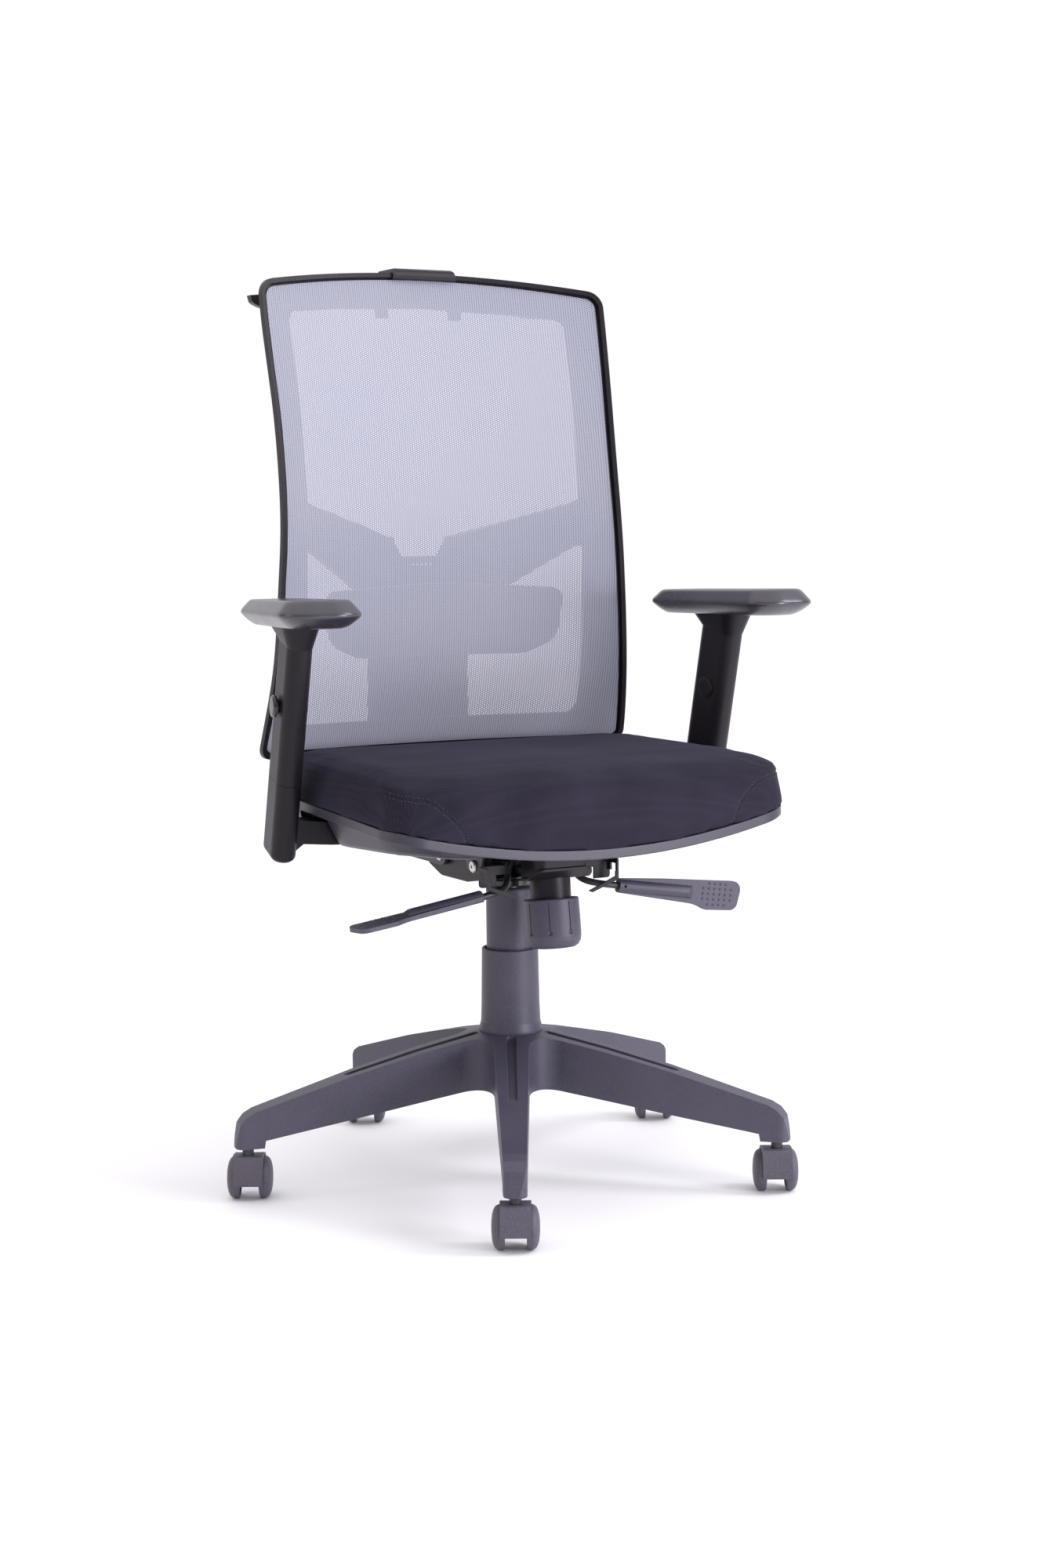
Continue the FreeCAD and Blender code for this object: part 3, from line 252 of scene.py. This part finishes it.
def seat_cloth():
    """Dense plain weave, near black, with slubs and a faint nap."""
    m = Nodes("seat_weave")
    warp, weft = [m.wave(way, CLOTH_BANDS, 0.6, Detail=1.0, Detail_Scale=2.0) for way in "XY"]
    rise = m.wave("Z", CLOTH_BANDS, 0.6)
    across = m.math("MAXIMUM", m.math("MULTIPLY", warp, weft), m.share(rise, 0.5))
    fuzz = m.noise(1800.0, 4.0, 0.7)
    drift = m.noise(9.0, 3.0)
    threads = m.blend(across, 0.7, fuzz)
    colour = m.mix(m.share(m.spread(threads, 0.2, 0.9), 0.6), CLOTH, CLOTH_PALE)
    colour = m.mix(m.share(m.spread(drift, 0.35, 0.7), 0.35), colour, scaled(CLOTH_PALE, 1.5))
    lint = m.spread(m.cells(95.0), 0.030, 0.018)
    colour = m.mix(m.share(lint, 0.25), colour, LINT)
    m.set(Base_Color=colour, Roughness=m.spread(fuzz, 0.2, 0.8, 0.86, 0.98),
          Normal=m.bump(threads, 0.35, 0.00020))
    m.set(Specular_IOR_Level=0.10, Sheen_Weight=0.05, Sheen_Roughness=0.45,
          Sheen_Tint=(0.55, 0.58, 0.78, 1.0))
    return m.material


def thread():
    """Twisted sewing thread."""
    m = Nodes("seam_thread")
    twist = m.wave("DIAGONAL", 190.0, 1.0)
    m.set(Base_Color=m.mix(twist, THREAD_DARK, THREAD_PALE),
          Roughness=m.spread(twist, 0.0, 1.0, 0.55, 0.75), Normal=m.bump(twist, 0.6, 0.0001))
    return m.material


def knitted_mesh():
    """Open knit: staggered pores between light threads that run up the back."""
    m = Nodes("open_knit")
    split = m.add("ShaderNodeSeparateXYZ", {"Vector": m.place}).outputs
    column = m.math("DIVIDE", split["X"], KNIT_PITCH[0])
    odd = m.math("MODULO", m.math("ABSOLUTE", m.math("FLOOR", column)), 2.0)
    row = m.math("ADD", m.math("DIVIDE", split["Z"], KNIT_PITCH[1]), m.share(odd, 0.5))
    u, v = [m.math("SUBTRACT", m.math("FRACT", place), 0.5) for place in (column, row)]
    # distance from the middle of a pore: 1 on its outline
    reach = m.math("ADD", *[
        m.math("POWER", m.math("DIVIDE", m.math("ABSOLUTE", place), half), PORE_ROUNDING)
        for place, half in zip((u, v), PORE_HALF)])
    ragged = m.math("ADD", reach, m.spread(m.noise(1500.0, 2.0), 0.3, 0.7, -0.25, 0.25))
    cover = m.spread(ragged, 0.80, 1.15)
    ridge = m.math("SUBTRACT", 1.0, m.math("ABSOLUTE", m.share(v, 1.6)))
    fibre = m.noise(2600.0, 3.0, 0.7)
    height = m.blend(ridge, 0.7, fibre)
    colour = m.mix(m.spread(height, 0.25, 0.95), MESH, MESH_PALE)
    colour = m.mix(m.share(m.spread(m.noise(4.5, 3.0), 0.35, 0.7), 0.18), colour, MESH_SHADE)
    m.set(Base_Color=colour, Roughness=m.spread(fibre, 0.2, 0.8, 0.62, 0.82), Alpha=cover,
          Normal=m.bump(height, 0.6, 0.0004))
    m.set(Specular_IOR_Level=0.35, Sheen_Weight=0.10, Sheen_Roughness=0.4)
    return m.material


def pad_skin():
    """Moulded foam skin: soft leathery pebble with a satin shine."""
    m = Nodes("pad_skin")
    pebble = m.cells(620.0, "SMOOTH_F1")
    wander = m.noise(14.0, 4.0, 0.6)
    rub = m.noise(38.0, 5.0, 0.7)
    colour = m.mix(m.spread(wander, 0.3, 0.7), PAD, PAD_PALE)
    colour = m.mix(m.share(m.spread(rub, 0.55, 0.75), 0.12), colour, scaled(PAD_PALE, 1.5))
    m.set(Base_Color=colour, Normal=m.bump(pebble, 0.35, 0.00012),
          Roughness=m.spread(m.blend(wander, 0.5, rub), 0.3, 0.7, 0.24, 0.34))
    m.set(Specular_IOR_Level=0.62, Coat_Weight=0.10, Coat_Roughness=0.22)
    return m.material


FINISH = {
    "charcoal_plastic": moulded("charcoal_plastic", PLASTIC, PLASTIC_PALE),
    "satin_black_plastic": moulded("satin_black_plastic", DARK_PLASTIC, DARK_PLASTIC_PALE,
                                   rough=(0.34, 0.48), specular=0.24),
    "caster_plastic": moulded("caster_plastic", CASTER, CASTER_PALE, rough=(0.44, 0.60), grain=1200.0),
    "pan_plastic": moulded("pan_plastic", scaled(PLASTIC, 0.55), scaled(PLASTIC_PALE, 0.55),
                           rough=(0.30, 0.42), edge=0.0022),
    "gloss_black": moulded("gloss_black", GLOSS, GLOSS_PALE, rough=(0.10, 0.20), grain=700.0,
                           depth=0.00002),
    "black_steel": moulded("black_steel", STEEL_BLACK, STEEL_PALE, rough=(0.34, 0.48), grain=900.0,
                           depth=0.00006),
    "bright_steel": zinc_plated(),
    "pad_skin": pad_skin(),
    "seat_fabric": seat_cloth(),
    "back_mesh": knitted_mesh(),
}
# Nodes that look different from the rest of their slot
OWN_FINISH = {"seat_pan": "pan_plastic", "mechanism_housing": "satin_black_plastic",
              "arm_button_right": "gloss_black", "arm_button_left": "gloss_black"}
THREAD = thread()


def dress(piece, finish):
    piece.data.materials.clear()
    piece.data.materials.append(finish)


for part in frame["record"]["subparts"]:
    dress(NODES[part["node"]], FINISH[part["material_slot"]])
for name, finish in OWN_FINISH.items():
    dress(NODES[name], FINISH[finish])


# ---------------------------------------------------------------- mesh helpers
def new_piece(name, mesh, finish, body):
    piece = bpy.data.objects.new(name, mesh)
    scene.collection.objects.link(piece)
    if finish is not None:
        dress(piece, finish)
    for face in mesh.polygons:
        face.use_smooth = True
    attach(piece, body)
    return piece


def from_data(name, points, faces):
    mesh = bpy.data.meshes.new(name)
    mesh.from_pydata([tuple(p) for p in points], [], faces)
    mesh.update()
    return mesh


def evaluated(piece):
    """The piece's mesh as its modifiers leave it, for keeping."""
    return bpy.data.meshes.new_from_object(piece.evaluated_get(bpy.context.evaluated_depsgraph_get()))


def bake_modifiers(piece):
    """Keep the shape that the modifiers give and drop them."""
    mesh = evaluated(piece)
    piece.modifiers.clear()
    piece.data = mesh


def points_of(mesh):
    flat = np.zeros(len(mesh.vertices) * 3)
    mesh.vertices.foreach_get("co", flat)
    return flat.reshape(-1, 3)


def set_points(mesh, points):
    mesh.vertices.foreach_set("co", np.asarray(points, float).ravel())
    mesh.update()


def normals_of(mesh):
    flat = np.zeros(len(mesh.vertices) * 3)
    mesh.vertices.foreach_get("normal", flat)
    return flat.reshape(-1, 3)


def tube_faces(base, rings, around):
    """Sides and both ends of a closed tube whose points lie in rings, from point number base on."""
    faces = []
    for ring in range(rings - 1):
        start = base + ring * around
        for k in range(around):
            j = (k + 1) % around
            faces.append((start + k, start + j, start + around + j, start + around + k))
    faces.append(tuple(base + k for k in reversed(range(around))))
    faces.append(tuple(base + (rings - 1) * around + k for k in range(around)))
    return faces


def smooth_line(points, step):
    """Evenly spaced points of a smooth curve through the points."""
    pts = [Vector(p) for p in points]
    fine = []
    for i in range(len(pts) - 1):
        a, b = pts[max(i - 1, 0)], pts[i]
        c, d = pts[i + 1], pts[min(i + 2, len(pts) - 1)]
        for k in range(24):
            t = k / 24
            fine.append(0.5 * ((2 * b) + (c - a) * t + (2 * a - 5 * b + 4 * c - d) * t * t
                               + (3 * b - a - 3 * c + d) * t ** 3))
    fine.append(pts[-1])
    out, carried = [fine[0]], 0.0
    for p, q in zip(fine, fine[1:]):
        length = (q - p).length
        while carried + length >= step:
            p = p + (q - p) * ((step - carried) / length)
            out.append(p)
            length, carried = (q - p).length, 0.0
        carried += length
    return out


def tree_of(mesh):
    return BVHTree.FromPolygons([v.co[:] for v in mesh.vertices], [p.vertices[:] for p in mesh.polygons])


# ---------------------------------------------------------------- seat cushion
def cushion_block():
    """The CAD block, remeshed evenly."""
    source = NODES["seat_cushion"]
    piece = bpy.data.objects.new("cushion", source.data.copy())
    scene.collection.objects.link(piece)
    remesh = piece.modifiers.new("remesh", "REMESH")
    remesh.mode = "VOXEL"
    remesh.voxel_size = CUSHION_VOXEL
    bpy.context.view_layer.update()
    bake_modifiers(piece)
    return piece


def freedom(points):
    """0 for points where the cover is tucked under the rim, 1 well above it."""
    mesh = NODES["seat_cushion"].data
    under = BVHTree.FromPolygons([v.co[:] for v in mesh.vertices],
                                 [p.vertices[:] for p in mesh.polygons if p.normal.z < -0.35])
    far = np.array([under.find_nearest(p)[3] for p in points])
    return np.clip((far - TUCK[0]) / (TUCK[1] - TUCK[0]), 0.0, 1.0)[:, None]


def swell(piece, held):
    """Inflate the piece as cloth; held says which points stay put."""
    start = points_of(piece.data).copy()
    group = piece.vertex_groups.new(name="held")
    group.add([int(i) for i in np.nonzero(held)[0]], 1.0, "REPLACE")
    cloth = piece.modifiers.new("cloth", "CLOTH")
    cloth.settings.use_pressure = True
    cloth.settings.uniform_pressure_force = CUSHION_PRESSURE
    cloth.settings.effector_weights.gravity = 0.0
    cloth.settings.vertex_group_mass = "held"
    cloth.settings.quality = 4
    cloth.point_cache.frame_start, cloth.point_cache.frame_end = 1, CLOTH_FRAMES
    for number in range(1, CLOTH_FRAMES + 1):
        scene.frame_set(number)
    moved = points_of(evaluated(piece))
    scene.frame_set(1)
    piece.modifiers.clear()
    piece.vertex_groups.clear()
    shift = moved - start
    far = np.linalg.norm(shift, axis=1, keepdims=True)
    set_points(piece.data, start + shift * np.minimum(1.0, CUSHION_SWELL / np.maximum(far, 1e-9)))


def settle(piece, loose):
    """Even out creases where the cover is free; the last steps give back what the first draw in."""
    for factor in [0.5] * CUSHION_SOFTEN + [0.5, -0.52] * CUSHION_EVEN:
        before = points_of(piece.data)
        smooth = piece.modifiers.new("smooth", "SMOOTH")
        smooth.factor, smooth.iterations = factor, 1
        bpy.context.view_layer.update()
        after = points_of(evaluated(piece))
        piece.modifiers.clear()
        set_points(piece.data, before + (after - before) * loose)


low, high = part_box("seat_cushion")
cushion = cushion_block()
loose = freedom(points_of(cushion.data))
inward = normals_of(cushion.data) * CUSHION_SHRINK * loose
set_points(cushion.data, points_of(cushion.data) - inward)
swell(cushion, loose[:, 0] == 0.0)
settle(cushion, loose)
finer = cushion.modifiers.new("finer", "SUBSURF")
finer.levels = finer.render_levels = 1
bpy.context.view_layer.update()
bake_modifiers(cushion)

HALF = (high.x - low.x) / 2
# The seam on the left side, from the rear of the top edge round the front corner and down
SEAM = [(HALF - 0.030, 0.110, 0.524), (HALF - 0.016, 0.045, 0.522), (HALF - 0.008, -0.070, 0.517),
        (HALF - 0.002, -0.177, 0.508), (HALF - 0.012, -0.216, 0.502), (HALF - 0.045, -0.231, 0.496),
        (HALF - 0.063, -0.232, 0.485), (HALF - 0.080, -0.233, 0.469), (HALF - 0.089, -0.233, 0.451),
        (HALF - 0.092, -0.233, 0.436)]


def on_surface(tree, points):
    """Nearest places on a surface, each with its normal."""
    out = []
    for p in points:
        place, normal, _, _ = tree.find_nearest(p)
        out.append((place, normal))
    return out


def press_seam(mesh, line):
    """Draw the cloth in along a line."""
    points, normals = points_of(mesh), normals_of(mesh)
    near = np.full(len(points), 1e9)
    for p in line:
        near = np.minimum(near, ((points - np.array(p)) ** 2).sum(1))
    set_points(mesh, points - normals * (SEAM_DEPTH * np.exp(-near / SEAM_WIDTH ** 2))[:, None])


def stitches(name, tree, line, offset):
    """A row of short threads beside a seam."""
    step = STITCH_LENGTH + STITCH_GAP
    path = on_surface(tree, line)
    n = STITCH_SIDES
    points, faces = [], []
    travelled, last = 0.0, None
    for (a, na), (b, _) in zip(path, path[1:]):
        travelled += (b - a).length
        if last is not None and travelled - last < step:
            continue
        last = travelled
        along = (b - a).normalized()
        side = along.cross(na).normalized()
        middle, normal, _, _ = tree.find_nearest(a + side * offset)
        base = len(points)
        for where, size, lift in STITCH_RINGS:
            centre = middle + along * (where * STITCH_LENGTH) + normal * (lift * STITCH_R)
            for k in range(n):
                turn = math.tau * k / n
                points.append(centre + (side * math.cos(turn) + normal * math.sin(turn)) * STITCH_R * size)
        faces += tube_faces(base, len(STITCH_RINGS), n)
    return new_piece(name, from_data(name, points, faces), THREAD, "seat")


for side_name, s in (("left", 1), ("right", -1)):
    tree = tree_of(cushion.data)
    line = [p for p, _ in on_surface(tree, smooth_line([(s * x, y, z) for x, y, z in SEAM], SEAM_STEP))]
    press_seam(cushion.data, line[::3])
    tree = tree_of(cushion.data)
    sewn = [p for p in line if p.y < STITCHED_FROM]
    for row, offset in (("inner", -STITCH_ROW), ("outer", STITCH_ROW)):
        stitches("stitches_%s_%s" % (side_name, row), tree, sewn, offset)

for face in cushion.data.polygons:
    face.use_smooth = True
dress(cushion, FINISH["seat_fabric"])
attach(cushion, "seat")
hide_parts("seat_cushion")


# ---------------------------------------------------------------- back mesh
def knit_panel():
    """One layer of knit, stretched in the groove of the frame, taken from the CAD plate's front."""
    source = NODES["mesh_panel"].data
    work = bmesh.new()
    work.from_mesh(source)
    bmesh.ops.remove_doubles(work, verts=work.verts, dist=1e-5)
    work.normal_update()
    rear = [f for f in work.faces if f.normal.y > -0.55]
    bmesh.ops.delete(work, geom=rear, context="FACES")
    for vert in work.verts:
        vert.co.y += KNIT_BACK
    mesh = bpy.data.meshes.new("knit_panel")
    work.to_mesh(mesh)
    work.free()
    return mesh


knit = new_piece("knit_panel", knit_panel(), FINISH["back_mesh"], "back")
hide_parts("mesh_panel")


# ---------------------------------------------------------------- arm pads
# Levels of an arm pad from the underside up: half width, front, rear, corner radius, height
PAD_LEVELS = [(0.012, -0.070, 0.072, 0.010, 0.0), (0.029, -0.098, 0.100, 0.024, 0.0),
              (0.032, -0.102, 0.104, 0.027, 0.0006), (0.040, -0.114, 0.114, 0.033, 0.0058),
              (0.0462, -0.1213, 0.1212, 0.036, 0.0124), (0.0474, -0.1225, 0.1222, 0.036, 0.0140),
              (0.0474, -0.1224, 0.1221, 0.036, 0.0172), (0.0462, -0.1212, 0.1208, 0.036, 0.0190),
              (0.0400, -0.1145, 0.1140, 0.032, 0.0264), (0.0370, -0.1110, 0.1105, 0.030, 0.0298),
              (0.0335, -0.1070, 0.1065, 0.028, 0.0310), (0.0290, -0.1010, 0.1015, 0.025, 0.0302),
              (0.0180, -0.0760, 0.0800, 0.016, 0.0290), (0.0070, -0.0380, 0.0420, 0.006, 0.0286)]
PAD_TOE = math.radians(7.0)               # the front ends turn outwards by this much
PAD_RISE, PAD_REACH = 0.0016, 0.12        # the top stands this much higher at its front end
PAD_EDGE, PAD_CREST = 0.017, 0.014        # height of the thin edge, and of the crest above it


def round_ring(half, front, rear, r, z, corner=9, straight=5):
    """Points of a rounded outline, a little narrower at the rear."""
    ends = [(half, front, r, -90), (half * 0.86, rear, r * 0.9, 0), (-half * 0.86, rear, r * 0.9, 90),
            (-half, front, r, 180)]
    corners = []
    for x, y, radius, start in ends:
        cx, cy = x - math.copysign(radius, x), y - math.copysign(radius, y)
        corners.append([(cx + radius * math.cos(math.radians(start + 90 * k / (corner - 1))),
                         cy + radius * math.sin(math.radians(start + 90 * k / (corner - 1))))
                        for k in range(corner)])
    out = []
    for i, arc in enumerate(corners):
        out += arc
        a, b = arc[-1], corners[(i + 1) % 4][0]
        out += [(a[0] + (b[0] - a[0]) * k / straight, a[1] + (b[1] - a[1]) * k / straight)
                for k in range(1, straight)]
    return [(x, y, z) for x, y in out]


def arm_pad(s):
    """Moulded foam pad: boat shape with a bevelled belly, a thin edge and a crest round a shallow dish."""
    low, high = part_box("arm_pad_left")
    middle = (low + high) / 2
    rings = [round_ring(*level) for level in PAD_LEVELS]
    around = len(rings[0])
    points = []
    for ring in rings:
        for x, y, z in ring:
            rise = PAD_RISE * (-y / PAD_REACH) * max(0.0, (z - PAD_EDGE) / PAD_CREST)
            points.append((x, y, z + rise))
    faces = tube_faces(0, len(rings), around)
    turned = [Matrix.Rotation(PAD_TOE, 3, "Z") @ Vector(p) for p in points]
    placed = [(s * (p.x + middle.x), p.y + middle.y, p.z + low.z) for p in turned]
    if s < 0:
        faces = [tuple(reversed(f)) for f in faces]
    side_name = "left" if s > 0 else "right"
    piece = new_piece("pad_" + side_name, from_data("pad_" + side_name, placed, faces),
                      FINISH["pad_skin"], "arm_" + side_name)
    round_off = piece.modifiers.new("round", "SUBSURF")
    round_off.levels = round_off.render_levels = 1
    bpy.context.view_layer.update()
    bake_modifiers(piece)
    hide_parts("arm_pad_" + side_name)


for s in (1, -1):
    arm_pad(s)


# ---------------------------------------------------------------- floor, light and camera
def plain(name, colour, rough):
    """One even colour with the faintest dust."""
    m = Nodes(name)
    dust = m.noise(3.0, 4.0)
    m.set(Base_Color=m.mix(m.share(dust, 0.04), colour, scaled(colour, 0.97)),
          Roughness=m.spread(dust, 0.3, 0.7, rough, rough + 0.1))
    return m.material


corners = [(x * FLOOR_HALF, y * FLOOR_HALF, 0) for x, y in ((-1, -1), (1, -1), (1, 1), (-1, 1))]
floor = bpy.data.objects.new("floor", from_data("floor", corners, [(0, 1, 2, 3)]))
scene.collection.objects.link(floor)
dress(floor, plain("pale_floor", FLOOR, 0.8))


def studio_world():
    """Soft light from overhead and from a white screen; the camera itself sees plain white."""
    world = bpy.data.worlds.new("studio")
    world.use_nodes = True
    tree = world.node_tree

    def add(kind, inputs, **settings):
        node = tree.nodes.new(kind)
        for key, value in settings.items():
            setattr(node, key, value)
        for key, value in inputs.items():
            if isinstance(value, bpy.types.NodeSocket):
                tree.links.new(value, node.inputs[key])
            else:
                node.inputs[key].default_value = value
        return node.outputs

    way = add("ShaderNodeTexCoord", {})["Generated"]
    height = add("ShaderNodeSeparateXYZ", {0: way})["Z"]
    overhead = add("ShaderNodeMapRange", {0: height, 1: 0.0, 2: 0.9, 3: SKY_LOW, 4: SKY_HIGH})[0]
    toward = add("ShaderNodeVectorMath", {0: way, 1: BACKDROP_SIDE}, operation="DOT_PRODUCT")["Value"]
    screen = add("ShaderNodeMapRange", {0: toward, 1: 0.25, 2: 0.75, 3: 0.0, 4: 1.0})[0]
    light = add("ShaderNodeMath", {0: overhead, 1: screen}, operation="MAXIMUM")[0]
    seen = add("ShaderNodeLightPath", {})["Is Camera Ray"]
    level = add("ShaderNodeMix", {"Factor": seen, "A": light, "B": SEEN_WHITE}, data_type="FLOAT")["Result"]
    back = tree.nodes["Background"]
    tree.links.new(level, back.inputs["Strength"])
    back.inputs["Color"].default_value = STUDIO
    return world


scene.world = studio_world()


def softbox(name, place, target, size, power, colour):
    data = bpy.data.lights.new(name, "AREA")
    data.shape = "RECTANGLE"
    data.size, data.size_y = size
    data.energy = power
    data.color = colour
    lamp = bpy.data.objects.new(name, data)
    scene.collection.objects.link(lamp)
    lamp.location = place
    lamp.rotation_euler = (Vector(target) - Vector(place)).to_track_quat("-Z", "Y").to_euler()


for box in SOFTBOXES:
    softbox(*box)

camera = bpy.data.objects.new("camera", bpy.data.cameras.new("camera"))
scene.collection.objects.link(camera)
camera.data.lens = CAMERA_LENS
camera.data.sensor_width = CAMERA_SENSOR
camera.data.clip_end = 100.0
ahead = Vector((math.sin(CAMERA_HEADING) * math.cos(CAMERA_DIP),
                math.cos(CAMERA_HEADING) * math.cos(CAMERA_DIP), -math.sin(CAMERA_DIP)))
camera.matrix_world = (Matrix.Translation(CAMERA_PLACE) @ ahead.to_track_quat("-Z", "Y").to_matrix().to_4x4()
                       @ Matrix.Rotation(CAMERA_ROLL, 4, "Z"))
scene.camera = camera
scene.view_settings.view_transform = "Standard"
